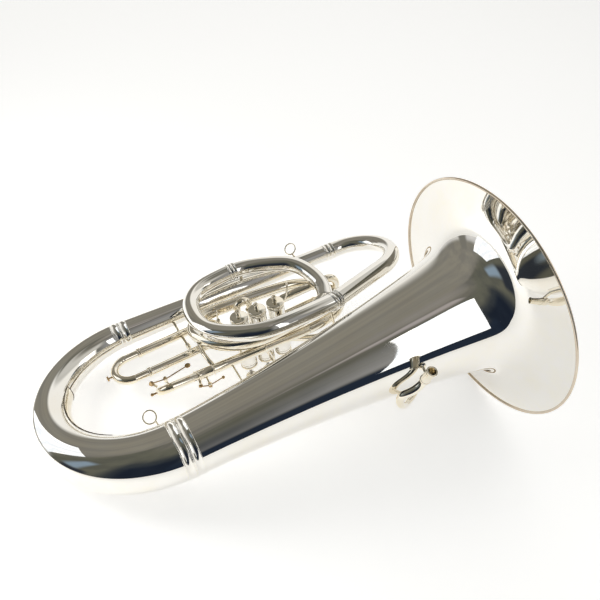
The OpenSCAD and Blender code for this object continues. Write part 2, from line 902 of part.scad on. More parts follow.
module main_water_key() {
    n = unit(key_axis);
    seat_dir = unit(key_pad - crook_seat);
    color(pale_gold) {
        difference() {
            facing(key_pivot - 2.2 * n, n)
                cylinder(h = 4.4, r = 3, $fn = 40);
            facing(key_pivot - 3 * n, n)
                cylinder(h = 6, r = 0.97, $fn = 40);
        }
        bar(key_pivot + [2.6, 0, 0.6], [66, 146, 13], 1.1);
        facing([70, 146.5, 13], [0, 0, 1])
            cylinder(h = 1.6, r = 5, center = true, $fn = 40);
        bar(key_pivot + [-2.6, 0.8, 0.3], key_pad + 3.6 * seat_dir, 1.1);
        facing(key_pad + 2 * seat_dir, seat_dir)
            cylinder(h = 2.6, r = 4.4, $fn = 40);
    }
}

module main_water_key_pad() {
    color(cork_tan)
        facing(key_pad, key_pad - crook_seat)
            cylinder(h = 2.1, r = 3.8, $fn = 40);
}

module sleeve_water_key_saddle() {
    color(silver_shade) {
        bar([92, 131, -16], [92, 122, -21], 1.8);
        difference() {
            facing(sleeve_key_pivot - [0, 0, 4.2], [0, 0, 1])
                cylinder(h = 8.4, r = 3.4, $fn = 32);
            facing(sleeve_key_pivot - [0, 0, 2.6], [0, 0, 1])
                cylinder(h = 5.2, r = 5, $fn = 32);
        }
        bar(sleeve_key_pivot - [0, 0, 4.2], sleeve_key_pivot + [0, 0, 4.2], 0.9);
        pipe(sleeve_nipple[0], sleeve_nipple[1], 2.4, 1.1);
    }
}

module sleeve_water_key() {
    color(pale_gold) {
        difference() {
            facing(sleeve_key_pivot - [0, 0, 2.2], [0, 0, 1])
                cylinder(h = 4.4, r = 3, $fn = 40);
            facing(sleeve_key_pivot - [0, 0, 3], [0, 0, 1])
                cylinder(h = 6, r = 0.97, $fn = 40);
        }
        bar(sleeve_key_pivot + [2.6, 0, 0], [116, 121, -24], 1.1);
        translate([118, 121, -24])
            sphere(r = 3, $fn = 32);
        bar(sleeve_key_pivot - [2.6, 0, 0], sleeve_nipple[1] + [0, -2.2, -2.6], 1.1);
        facing(sleeve_nipple[1], sleeve_nipple[1] - sleeve_nipple[0])
            translate([0, 0, 0.1])
                cylinder(h = 4.2, r = 3.7, $fn = 40);
    }
}

laid() bell();
laid() bell_rim();
laid() bell_collar();
laid() bottom_bow();
laid() bow_guard();
laid() branch_collar();
laid() outer_branch();
laid() top_bow_collar();
laid() top_bow();
laid() loop_collar();
laid() upper_loop();
laid() loop_joint_collar();
laid() lower_loop();
laid() main_slide_upper_sleeve();
laid() main_slide_lower_sleeve();
laid() main_tuning_slide();
laid() main_slide_knob();
laid() third_slide_sleeves();
laid() third_slide();
laid() third_slide_knob();
laid() second_slide_sleeves();
laid() second_slide();
laid() first_slide_sleeves();
laid() first_slide();
laid() valve_casing(0);  // valve_casing_1
laid() valve_casing(1);  // valve_casing_2
laid() valve_casing(2);  // valve_casing_3
laid() bottom_cap(0);  // bottom_cap_1
laid() bottom_cap(1);  // bottom_cap_2
laid() bottom_cap(2);  // bottom_cap_3
laid() top_cap(0);  // top_cap_1
laid() top_cap(1);  // top_cap_2
laid() top_cap(2);  // top_cap_3
laid() piston(0);  // piston_1
laid() piston(1);  // piston_2
laid() piston(2);  // piston_3
laid() finger_button(0);  // finger_button_1
laid() finger_button(1);  // finger_button_2
laid() finger_button(2);  // finger_button_3
laid() valve_spring(0);  // valve_spring_1
laid() valve_spring(1);  // valve_spring_2
laid() valve_spring(2);  // valve_spring_3
laid() valve_felts();
laid() valve_knuckles();
laid() leadpipe();
laid() leadpipe_collar();
laid() mouthpiece_receiver();
laid() receiver_brace();
laid() body_stays();
laid() valve_stays();
laid() thumb_ring();
laid() lower_strap_ring();
laid() upper_strap_ring();
laid() main_water_key_saddle();
laid() main_water_key();
laid() main_water_key_pad();
laid() sleeve_water_key_saddle();
laid() sleeve_water_key();
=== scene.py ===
"""Looks for a silver-plated tuba that lies on its bell rim and bottom bow.

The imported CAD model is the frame. The large mirror surfaces are rebuilt here as smooth meshes on the same
centrelines, because a mirror shows every facet, and the small CAD nodes keep their shape and get materials.
Body-frame points are in millimetres: X points to the bell rim, Y to the outer branch and Z to the player.
"""
import json
import math

import bmesh
import bpy
import numpy as np
from mathutils import Matrix, Vector

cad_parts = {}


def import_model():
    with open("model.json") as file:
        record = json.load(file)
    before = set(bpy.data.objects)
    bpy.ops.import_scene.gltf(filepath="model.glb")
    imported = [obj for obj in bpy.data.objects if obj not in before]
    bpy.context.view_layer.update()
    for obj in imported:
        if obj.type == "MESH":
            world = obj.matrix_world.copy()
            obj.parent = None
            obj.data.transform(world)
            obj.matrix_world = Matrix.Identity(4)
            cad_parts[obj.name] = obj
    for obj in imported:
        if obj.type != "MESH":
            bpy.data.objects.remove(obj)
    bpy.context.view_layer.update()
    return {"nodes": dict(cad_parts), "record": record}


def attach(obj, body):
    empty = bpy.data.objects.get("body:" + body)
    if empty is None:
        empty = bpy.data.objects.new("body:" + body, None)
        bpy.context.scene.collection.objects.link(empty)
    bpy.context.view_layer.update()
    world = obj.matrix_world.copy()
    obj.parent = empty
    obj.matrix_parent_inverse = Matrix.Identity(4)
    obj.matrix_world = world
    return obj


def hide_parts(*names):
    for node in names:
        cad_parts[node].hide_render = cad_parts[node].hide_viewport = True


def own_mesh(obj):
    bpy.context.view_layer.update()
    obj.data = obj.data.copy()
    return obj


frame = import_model()
MM = 0.001
CURVE_STEPS = 16

# ---------- the body frame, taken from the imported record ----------

record = frame["record"]
JOINTS = {joint["name"]: joint for joint in record["behaviour"]["joints"]}
MOUNTS = {mount["name"]: mount for mount in record["mounts"]}
AXIS_X = np.array(JOINTS["first_slide_pull"]["axis"])
AXIS_Z = np.array(JOINTS["valve_1_press"]["axis"])
AXIS_Y = np.cross(AXIS_Z, AXIS_X)
TURN = np.column_stack([AXIS_X, AXIS_Y, AXIS_Z])
RECEIVER_MOUTH = np.array([382, -115.5, 36])
ORIGIN = np.array(MOUNTS["mouthpiece_receiver"]["pos_m"]) - TURN @ RECEIVER_MOUTH * MM


def world(points):
    """Body-frame points in millimetres as world points in metres."""
    return np.asarray(points, float) @ TURN.T * MM + ORIGIN


def unit(vector):
    return np.asarray(vector, float) / np.linalg.norm(vector)


# ---------- mesh helpers ----------

def make_piece(name, points, faces, material, body="horn"):
    """A smooth mesh piece from world points, riding on a body."""
    mesh = bpy.data.meshes.new(name)
    mesh.from_pydata([tuple(p) for p in points], [], [tuple(f) for f in faces])
    mesh.validate()
    mesh.polygons.foreach_set("use_smooth", [True] * len(mesh.polygons))
    piece = bpy.data.objects.new(name, mesh)
    bpy.context.collection.objects.link(piece)
    mesh.materials.append(material)
    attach(piece, body)
    return piece


def grid_faces(rings, sides, closed_rings=False):
    """Quads between neighbouring rings of points."""
    faces = []
    for i in range(rings if closed_rings else rings - 1):
        k = (i + 1) % rings
        for j in range(sides):
            m = (j + 1) % sides
            faces.append((i * sides + j, i * sides + m, k * sides + m, k * sides + j))
    return faces


def smooth_route(points, steps):
    """Catmull-Rom curve through all points, with the given steps between neighbours."""
    p = np.asarray(points, float)
    p = np.vstack([2 * p[0] - p[1], p, 2 * p[-1] - p[-2]])
    out = []
    for i in range(1, len(p) - 2):
        a, b, c, d = p[i - 1], p[i], p[i + 1], p[i + 2]
        for k in range(steps):
            t = k / steps
            square = (2 * a - 5 * b + 4 * c - d) * t ** 2
            cube = (3 * b - a - 3 * c + d) * t ** 3
            out.append(0.5 * (2 * b + (c - a) * t + square + cube))
    out.append(p[-2])
    return np.array(out)


def even_route(points, spacing):
    """The same route with points at an even spacing."""
    gaps = np.linalg.norm(np.diff(points, axis=0), axis=1)
    along = np.concatenate([[0], np.cumsum(gaps)])
    count = max(8, round(along[-1] / spacing))
    places = np.linspace(0, along[-1], count + 1)
    return np.column_stack([np.interp(places, along, points[:, k]) for k in range(3)])


def relaxed_route(points, passes):
    """Takes the small kinks out of a route, because a mirror tube shows them."""
    p = points.copy()
    for _ in range(passes):
        p[1:-1] += 0.5 * (0.5 * (p[:-2] + p[2:]) - p[1:-1])
    return p


def eased_route(points, spacing, passes):
    """A smooth, evenly spaced and relaxed route through a few points."""
    return relaxed_route(even_route(smooth_route(points, CURVE_STEPS), spacing), passes)


def tube(name, route, radii, material, sides=72, wall=0.8, body="horn"):
    """Hollow tube with open ends along a route in body-frame millimetres."""
    route = np.asarray(route, float)
    count = len(route)
    radii = np.interp(np.linspace(0, 1, count), np.linspace(0, 1, len(radii)), radii)
    heading = np.gradient(route, axis=0)
    heading /= np.linalg.norm(heading, axis=1)[:, None]
    side = np.array([0.0, 0, 1])
    angles = np.linspace(0, 2 * math.pi, sides, endpoint=False)
    outer, inner = [], []
    for i in range(count):
        side = unit(side - side @ heading[i] * heading[i])
        across = np.cross(heading[i], side)
        ring = np.cos(angles)[:, None] * side + np.sin(angles)[:, None] * across
        outer.append(route[i] + radii[i] * ring)
        inner.append(route[i] + (radii[i] - wall) * ring)
    points = np.vstack(outer + inner[::-1])
    faces = grid_faces(2 * count, sides, closed_rings=True)
    return make_piece(name, world(points), faces, material, body)


def lathe(name, centre, axis, profile, material, sides=96, body="horn"):
    """Closed outline of (distance along the axis, radius) turned about an axis in the body frame."""
    axis = unit(axis)
    helper = np.array([0, 0, 1.0]) if abs(axis[2]) < 0.9 else np.array([0, 1.0, 0])
    side = unit(np.cross(helper, axis))
    across = np.cross(axis, side)
    angles = np.linspace(0, 2 * math.pi, sides, endpoint=False)
    ring = np.cos(angles)[:, None] * side + np.sin(angles)[:, None] * across
    points = np.vstack([np.asarray(centre) + along * axis + radius * ring for along, radius in profile])
    faces = grid_faces(len(profile), sides, closed_rings=True)
    return make_piece(name, world(points), faces, material, body)


# ---------- materials ----------

def new_material(name):
    material = bpy.data.materials.new(name)
    material.use_nodes = True
    nodes = material.node_tree.nodes
    return material, nodes, material.node_tree.links, nodes["Principled BSDF"]


def noise(nodes, links, source, scale, detail, rough=0.6, stretch=(1, 1, 1)):
    """Noise in the object's own coordinates, in features per metre."""
    mapping = nodes.new("ShaderNodeMapping")
    mapping.inputs["Scale"].default_value = stretch
    links.new(source, mapping.inputs["Vector"])
    texture = nodes.new("ShaderNodeTexNoise")
    texture.inputs["Scale"].default_value = scale
    texture.inputs["Detail"].default_value = detail
    texture.inputs["Roughness"].default_value = rough
    links.new(mapping.outputs["Vector"], texture.inputs["Vector"])
    return texture.outputs["Fac"]


def ramp(nodes, links, value, stops):
    """Colour ramp from (place, colour) stops."""
    node = nodes.new("ShaderNodeValToRGB")
    elements = node.color_ramp.elements
    while len(elements) < len(stops):
        elements.new(0.5)
    for element, (place, colour) in zip(elements, stops):
        element.position = place
        element.color = (*colour, 1)
    links.new(value, node.inputs["Fac"])
    return node.outputs["Color"]


def spread(nodes, links, value, low, high, out_low, out_high):
    """Maps a range of values to another range."""
    node = nodes.new("ShaderNodeMapRange")
    for key, number in zip(("From Min", "From Max", "To Min", "To Max"), (low, high, out_low, out_high)):
        node.inputs[key].default_value = number
    links.new(value, node.inputs["Value"])
    return node.outputs["Result"]


def plated(name, clean, tarnished, gloss, worn_gloss, scratch=0.03):
    """Polished metal with faint tarnish clouds, finger smears, slight waves and fine wiping scratches."""
    material, nodes, links, shader = new_material(name)
    place = nodes.new("ShaderNodeTexCoord").outputs["Object"]
    clouds = noise(nodes, links, place, scale=14, detail=5)
    smears = noise(nodes, links, place, scale=60, detail=6, rough=0.7, stretch=(1, 1.4, 0.8))
    wipes = noise(nodes, links, place, scale=1300, detail=2, rough=0.5, stretch=(0.25, 1, 1))
    waves = noise(nodes, links, place, scale=16, detail=1, rough=0.3)
    links.new(ramp(nodes, links, clouds, [(0.35, clean), (0.8, tarnished)]), shader.inputs["Base Color"])
    shader.inputs["Metallic"].default_value = 1
    links.new(spread(nodes, links, smears, 0.4, 0.8, gloss, worn_gloss), shader.inputs["Roughness"])
    wave_bump = nodes.new("ShaderNodeBump")
    wave_bump.inputs["Strength"].default_value = 0.12
    wave_bump.inputs["Distance"].default_value = 0.002
    links.new(waves, wave_bump.inputs["Height"])
    bump = nodes.new("ShaderNodeBump")
    bump.inputs["Strength"].default_value = scratch
    bump.inputs["Distance"].default_value = 0.00005
    links.new(wipes, bump.inputs["Height"])
    links.new(wave_bump.outputs["Normal"], bump.inputs["Normal"])
    links.new(bump.outputs["Normal"], shader.inputs["Normal"])
    return material


def satin_metal(name, colour, rough):
    """Brushed or nickel surface with fine turning marks."""
    material, nodes, links, shader = new_material(name)
    place = nodes.new("ShaderNodeTexCoord").outputs["Object"]
    marks = noise(nodes, links, place, scale=700, detail=2, rough=0.5, stretch=(1, 1, 6))
    darker = tuple(0.75 * c for c in colour)
    links.new(ramp(nodes, links, marks, [(0.3, darker), (0.7, colour)]), shader.inputs["Base Color"])
    shader.inputs["Metallic"].default_value = 1
    links.new(spread(nodes, links, marks, 0.3, 0.7, rough, rough + 0.15), shader.inputs["Roughness"])
    return material


def soft_stuff(name, colour, scale, depth):
    """Felt or cork: rough, speckled and slightly bumpy."""
    material, nodes, links, shader = new_material(name)
    place = nodes.new("ShaderNodeTexCoord").outputs["Object"]
    grain = noise(nodes, links, place, scale, detail=6, rough=0.7)
    dark = tuple(0.55 * c for c in colour)
    links.new(ramp(nodes, links, grain, [(0.3, dark), (0.7, colour)]), shader.inputs["Base Color"])
    shader.inputs["Roughness"].default_value = 0.95
    bump = nodes.new("ShaderNodeBump")
    bump.inputs["Strength"].default_value = 0.6
    bump.inputs["Distance"].default_value = depth
    links.new(grain, bump.inputs["Height"])
    links.new(bump.outputs["Normal"], shader.inputs["Normal"])
    return material


SILVER = plated("silver_mirror", (0.885, 0.87, 0.83), (0.86, 0.82, 0.74), 0.015, 0.05)
# A warmer copy of the silver for the inner tubes and small parts: its golden tint is a painted golden
# reflection between the tubes, and its clouds are tarnish.
SILVER_TARNISH_AND_GOLDEN_SHEEN = plated("silver_inner", (0.92, 0.88, 0.79), (0.86, 0.76, 0.57), 0.03, 0.09)
SILVER_TRIM = plated("silver_trim", (0.90, 0.855, 0.75), (0.82, 0.71, 0.51), 0.04, 0.12)
RIM = plated("rim_wire", (0.74, 0.66, 0.55), (0.55, 0.44, 0.32), 0.12, 0.25)
GILT = plated("gilt_key", (0.58, 0.42, 0.22), (0.34, 0.21, 0.10), 0.12, 0.3)
# A dark satin colour for the line round the bow guard: painted shade along the plate's edge.
GUARD_EDGE_SHADE = satin_metal("painted_guard_edge_shade", (0.10, 0.075, 0.055), 0.45)
NICKEL = satin_metal("piston_nickel", (0.62, 0.62, 0.63), 0.22)
STEEL = satin_metal("spring_steel", (0.42, 0.42, 0.43), 0.3)
FELT = soft_stuff("valve_felt", (0.42, 0.07, 0.06), 900, 0.0005)
CORK = soft_stuff("cork_pad", (0.62, 0.44, 0.27), 500, 0.0006)

CAD_LOOKS = {
    "silver_plate": SILVER,
    "silver_trim": SILVER_TRIM,
    "rim_wire": RIM,
    "piston_nickel": NICKEL,
    "spring_steel": STEEL,
    "valve_felt": FELT,
    "cork_pad": CORK,
}
BODY_OF = {node: body for body, members in record["behaviour"]["bodies"].items() for node in members}
REBUILT = {
    "bell", "bell_rim", "bell_collar", "bottom_bow", "branch_collar", "outer_branch", "top_bow_collar",
    "top_bow", "loop_collar", "upper_loop", "loop_joint_collar", "lower_loop", "leadpipe", "leadpipe_collar"
}


MERGE_DISTANCE = 2e-6
FLAT_ANGLE = math.radians(0.6)
EDGE_ANGLE = math.radians(38)
EDGE_WIDTH = 0.35


def refined(node, material):
    """A copy of a CAD node, shaded smoothly, with its edges rounded by a small bevel."""
    form = bmesh.new()
    form.from_mesh(frame["nodes"][node].data)
    bmesh.ops.remove_doubles(form, verts=form.verts, dist=MERGE_DISTANCE)
    bmesh.ops.dissolve_limit(form, angle_limit=FLAT_ANGLE, verts=form.verts, edges=form.edges)
    mesh = bpy.data.meshes.new(node + "_skin")
    form.to_mesh(mesh)
    form.free()
    mesh.materials.clear()
    mesh.materials.append(material)
    mesh.polygons.foreach_set("material_index", [0] * len(mesh.polygons))
    mesh.polygons.foreach_set("use_smooth", [True] * len(mesh.polygons))
    piece = bpy.data.objects.new(node + "_skin", mesh)
    bpy.context.collection.objects.link(piece)
    bevel = piece.modifiers.new("edge", "BEVEL")
    bevel.width = EDGE_WIDTH * MM
    bevel.segments = 2
    bevel.angle_limit = EDGE_ANGLE
    bevel.harden_normals = True
    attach(piece, BODY_OF[node])
    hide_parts(node)
    return piece


def shortens(spring):
    """Gives a spring its own copy of the mesh."""
    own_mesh(spring)


for part in record["subparts"]:
    node = part["node"]
    slot = part["material_slot"]
    look = CAD_LOOKS[slot]
    if node.endswith("water_key") or node.endswith("slide_knob"):
        look = GILT
    elif slot == "silver_plate" and "valve_casing" not in node:
        # Inner silver parts take the golden copy: painted golden reflection, partly tarnish.
        look = SILVER_TARNISH_AND_GOLDEN_SHEEN
    if node not in REBUILT:
        skin = refined(node, look)
        if node.startswith("valve_spring_"):
            shortens(skin)

# ---------- bell ----------

BELL_LENGTH = 577
THROAT_R = 48.5
RIM_R = 225
RIM_WIRE_R = 2.4
FLARE_LENGTH = 17
SHEET = 1.0
INNER_SHIFT = 0.4  # towards the rim, so that the sheet keeps some thickness where the flare turns outwards
RIM_OVERLAP = 0.3
BELL_STEPS = 180
BELL_CROWDING = 1.8  # above 1, the rings crowd towards the rim
BELL_SIDES = 320


def bell_cone(x):
    """Radius of the bell without its flare."""
    return THROAT_R + 0.0365 * x + 1.526e-4 * x * x


def bell_radius(x):
    edge = RIM_R - 2 * RIM_WIRE_R + RIM_OVERLAP
    return bell_cone(x) + (edge - bell_cone(BELL_LENGTH)) * math.exp((x - BELL_LENGTH) / FLARE_LENGTH)


bell_x = [BELL_LENGTH * (1 - (1 - i / BELL_STEPS) ** BELL_CROWDING) for i in range(BELL_STEPS + 1)]
bell_outline = [(x, bell_radius(x)) for x in bell_x]
bell_outline += [(x + INNER_SHIFT, bell_radius(x) - SHEET) for x in reversed(bell_x)]
bell = lathe("bell_sheet", (0, 0, 0), (1, 0, 0), bell_outline, SILVER, sides=BELL_SIDES)
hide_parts("bell")

rim_outline = [
    (BELL_LENGTH + RIM_WIRE_R * math.cos(a), RIM_R - RIM_WIRE_R + RIM_WIRE_R * math.sin(a))
    for a in np.linspace(0, 2 * math.pi, 24, endpoint=False)
]
rim = lathe("bell_rim_wire", (0, 0, 0), (1, 0, 0), rim_outline, RIM, sides=BELL_SIDES)
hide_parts("bell_rim")

# ---------- bottom bow, branch and top bow ----------

BOW_DEPTH = 170
BOW_STEPS = 240
BOW_TAPER = 1.4  # above 1, the bow narrows mostly towards the branch
BRANCH_OFFSET = 303.5
BRANCH_LENGTH = 430
BRANCH_LEAN = (-11.5, -10)
BRANCH_NECK = (340, 16.2)  # the length where the taper slows, and the radius there
BRANCH_STEPS = 60
BRANCH_R = 23.5
TOP_R = 15.6

bow_t = np.linspace(0, 1, BOW_STEPS + 1)
bow_route = np.column_stack([
    -BOW_DEPTH * np.sin(math.pi * bow_t), BRANCH_OFFSET / 2 * (1 - np.cos(math.pi * bow_t)), 0 * bow_t
])
bow_radii = THROAT_R * (BRANCH_R / THROAT_R) ** (bow_t ** BOW_TAPER)
bow = tube("bottom_bow_tube", bow_route, bow_radii, SILVER, sides=144)
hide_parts("bottom_bow")

branch_start = np.array([0, BRANCH_OFFSET, 0])
branch_end = np.array([BRANCH_LENGTH, BRANCH_OFFSET + BRANCH_LEAN[0], BRANCH_LEAN[1]])
branch_t = np.linspace(0, 1, BRANCH_STEPS + 1)
branch_route = branch_start + branch_t[:, None] * (branch_end - branch_start)
branch_places = [0, BRANCH_NECK[0] / BRANCH_LENGTH, 1]
branch_radii = np.interp(branch_t, branch_places, [BRANCH_R, BRANCH_NECK[1], TOP_R])
branch = tube("outer_branch_tube", branch_route, branch_radii, SILVER, sides=96)
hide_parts("outer_branch")

TOP_BEND_R = 77
TOP_TURN = math.radians(163)
TOP_TILT = math.radians(15.5)
TOP_REACH = 10  # the bend moves this far towards the bell rim within its first few degrees
TOP_REACH_DEGREES = 20
TUBE_SPACING = 3
TOP_PASSES = 12
LOOP_PASSES = 30
UPPER_RADII = [15.3, 14.2]
LOWER_RADII = [14, 8.6]
UPPER_LOOP = [
    (342, 111, 40), (300, 106, 45), (250, 104, 49), (200, 108, 51), (157, 133, 49), (122, 178, 46),
    (124, 245, 43), (152, 282, 41), (189, 294, 39), (248, 298, 36), (301, 279, 33), (336, 256, 30),
    (353, 220, 24), (357, 182, 16), (345, 154, 13)
]
LOWER_LOOP = [
    (345, 154, 13), (315, 138, 13), (265, 132, 14), (205, 130, 14), (155, 147, 13), (122, 182, 12),
    (112, 222, 11), (138, 252, 6), (194, 256, 0), (265, 257, -7), (330, 250, -13), (374, 226, -21),
    (384, 185, -23), (368, 146, -16), (330, 125, -9), (290, 122.5, -8)
]
across_top = np.array([0, -math.cos(TOP_TILT), math.sin(TOP_TILT)])
top_angles = np.linspace(0, TOP_TURN, 80)
top_arc = [
    branch_end + TOP_BEND_R * (math.sin(a) * np.array([1, 0, 0]) + (1 - math.cos(a)) * across_top)
    + np.array([TOP_REACH * min(math.degrees(a) / TOP_REACH_DEGREES, 1), 0, 0]) for a in top_angles
]
top_points = np.vstack([top_arc, [0.5 * (top_arc[-1] + np.array(UPPER_LOOP[0]))], [UPPER_LOOP[0]]])
top_route = relaxed_route(even_route(top_points, TUBE_SPACING), TOP_PASSES)
top_bow = tube("top_bow_tube", top_route, [TOP_R, UPPER_RADII[0]], SILVER)
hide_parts("top_bow")

upper_route = eased_route(UPPER_LOOP, TUBE_SPACING, LOOP_PASSES)
upper_loop = tube("upper_loop_tube", upper_route, UPPER_RADII, SILVER)
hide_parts("upper_loop")
lower_route = eased_route(LOWER_LOOP, TUBE_SPACING, LOOP_PASSES)
lower_loop = tube("lower_loop_tube", lower_route, LOWER_RADII, SILVER_TARNISH_AND_GOLDEN_SHEEN)
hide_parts("lower_loop")

# ---------- leadpipe ----------

LEADPIPE = [
    (345, 93, -2), (417, 104, 0), (468, 118, -2), (498, 121, -32), (494, 95, -80), (470, 40, -112),
    (420, -20, -110), (366, -64, -80), (341, -85, -45), (339, -89, -20), (354, -97, -12),
    (369, -101, -3), (377, -103.5, 9)
]
LEADPIPE_RADII = [6.3, 7]
LEADPIPE_SPACING = 2
LEADPIPE_SIDES = 48
LEADPIPE_PASSES = 20
TAIL_PASSES = 6
FIRST_VALVE = (252, 164)
PORT_TURN = math.radians(-48)
PORT_HEIGHT = -36


def port_point(distance):
    """A point on the first valve's inlet line, at a distance from the valve's axis."""
    x, y = FIRST_VALVE
    return (x + distance * math.cos(PORT_TURN), y + distance * math.sin(PORT_TURN), PORT_HEIGHT)


LEAD_TAIL = [(345, 93, -2), (328, 102, -16), (300, 119, -32), port_point(26), port_point(14.1)]
lead_route = eased_route(LEADPIPE, LEADPIPE_SPACING, LEADPIPE_PASSES)
leadpipe = tube("leadpipe_tube", lead_route, LEADPIPE_RADII, SILVER_TARNISH_AND_GOLDEN_SHEEN, sides=LEADPIPE_SIDES)
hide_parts("leadpipe")
tail_route = eased_route(LEAD_TAIL, LEADPIPE_SPACING, TAIL_PASSES)
tube("leadpipe_tail", tail_route, [LEADPIPE_RADII[0]] * 2, SILVER_TARNISH_AND_GOLDEN_SHEEN, sides=LEADPIPE_SIDES)

# ---------- collars ----------

COLLAR_SHEET = 0.7
COLLAR_CHAMFER = 0.3  # also how deep the collar reaches into its tube's wall


def beaded_collar(node, centre, axis, tube_r, length, beads, bead_r):
    """A thin ferrule with raised round beads, like the CAD node of the same name."""
    half = length / 2
    skin = tube_r + COLLAR_SHEET
    sunk = tube_r - COLLAR_CHAMFER
    outline = [(-half, sunk), (-half, skin - COLLAR_CHAMFER), (-half + COLLAR_CHAMFER, skin)]
    for bead in beads:
        arc = np.linspace(math.pi, 0, 9)
        outline += [(bead + bead_r * math.cos(a), skin + bead_r * math.sin(a)) for a in arc]
    outline += [(half - COLLAR_CHAMFER, skin), (half, skin - COLLAR_CHAMFER), (half, sunk)]
    outline = [(min(max(along, -half), half), radius) for along, radius in outline]
    collar = lathe(node + "_ferrule", centre, axis, outline, SILVER, sides=160)
    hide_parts(node)


branch_dir = unit(branch_end - branch_start)
loop_dir = np.array(UPPER_LOOP[1]) - top_arc[-1]
leadpipe_dir = np.array(LEADPIPE[1]) - LEAD_TAIL[1]
JOINT_POINT = 26  # where the loop's own collar sits, as a point of its route with three steps to a stretch
joint_route = smooth_route(UPPER_LOOP, 3)
joint_centre = joint_route[JOINT_POINT]
joint_dir = joint_route[JOINT_POINT + 1] - joint_route[JOINT_POINT - 1]

# Each collar: node, centre, axis, tube radius, length, places of its beads along it, and their radius.
COLLARS = [
    ("bell_collar", (0, 0, 0), (1, 0, 0), THROAT_R, 30, (-14, -1.6, 1.6, 14), 0.9),
    ("branch_collar", branch_start, branch_dir, BRANCH_R, 30, (-14, -1.6, 1.6, 14), 0.8),
    ("top_bow_collar", branch_end, branch_dir, TOP_R, 20, (-9, 0, 9), 0.9),
    ("loop_collar", UPPER_LOOP[0], loop_dir, UPPER_RADII[0], 18, (-8, -2, 8), 0.9),
    ("loop_joint_collar", joint_centre, joint_dir, 14.7, 16, (-7, 0, 7), 0.9),
    ("leadpipe_collar", LEADPIPE[0], leadpipe_dir, LEADPIPE_RADII[0], 16, (-7, 0, 7), 0.8)
]
for collar in COLLARS:
    beaded_collar(*collar)

# ---------- painted shade line round the bow's guard plate ------


GUARD_SPAN = (5 / 22, 15 / 22)  # shares of the bow's length
GUARD_ANGLES = (60, 160)  # degrees round the bow, from the player's side towards the inside of the bend
GUARD_PROUD = 1.0
# Radius of the dark line of painted shade along the guard plate's edge.
SHADE_LINE_R = 0.45


def paint_guard_edge_shade():
    """A dark line along the border of the guard plate: painted shade for the plate's edge."""
    heading = np.gradient(bow_route, axis=0)
    heading /= np.linalg.norm(heading, axis=1)[:, None]
    up = np.array([0, 0, 1.0])

    def on_bow(share, angle):
        k = round(share * (len(bow_route) - 1))
        a = math.radians(angle)
        spoke = math.cos(a) * up + math.sin(a) * np.cross(heading[k], up)
        return bow_route[k] + (bow_radii[k] + GUARD_PROUD) * spoke

    first, last = GUARD_SPAN
    near, far = GUARD_ANGLES
    border = [on_bow(t, near) for t in np.linspace(first, last, 60)]
    border += [on_bow(last, a) for a in np.linspace(near + 2, far - 2, 24)]
    border += [on_bow(t, far) for t in np.linspace(last, first, 60)]
    border += [on_bow(first, a) for a in np.linspace(far - 2, near + 2, 24)]
    border.append(border[0])
    # The dark line is painted shade along the guard plate's edge.
    tube("bow_guard_painted_shade", border, [SHADE_LINE_R, SHADE_LINE_R], GUARD_EDGE_SHADE, sides=10, wall=0.3)


paint_guard_edge_shade()

# ---------- stage: floor, light and camera ----------

FLOOR_LOW = (-1.3, -2.0)
FLOOR_HIGH = (3.4, 3.4)
PAPER_GLOW = 0.50


def make_floor():
    mesh = bpy.data.meshes.new("floor")
    (x0, y0), (x1, y1) = FLOOR_LOW, FLOOR_HIGH
    mesh.from_pydata([(x0, y0, 0), (x1, y0, 0), (x1, y1, 0), (x0, y1, 0)], [], [(0, 1, 2, 3)])
    floor = bpy.data.objects.new("floor", mesh)
    bpy.context.collection.objects.link(floor)
    material, _, _, shader = new_material("white_paper")
    shader.inputs["Base Color"].default_value = (0.8, 0.8, 0.795, 1)
    shader.inputs["Roughness"].default_value = 0.9
    shader.inputs["Specular IOR Level"].default_value = 0.1
    shader.inputs["Emission Color"].default_value = (1, 1, 0.995, 1)
    shader.inputs["Emission Strength"].default_value = PAPER_GLOW
    mesh.materials.append(material)


def area_light(name, place, target, size, size_y, power, colour):
    """A lamp that lights the object but isn't mirrored in it."""
    data = bpy.data.lights.new(name, "AREA")
    data.shape = "RECTANGLE"
    data.size = size
    data.size_y = size_y
    data.energy = power
    data.color = colour
    lamp = bpy.data.objects.new(name, data)
    lamp.location = place
    lamp.rotation_euler = (Vector(target) - Vector(place)).to_track_quat("-Z", "Y").to_euler()
    lamp.visible_glossy = False
    bpy.context.collection.objects.link(lamp)


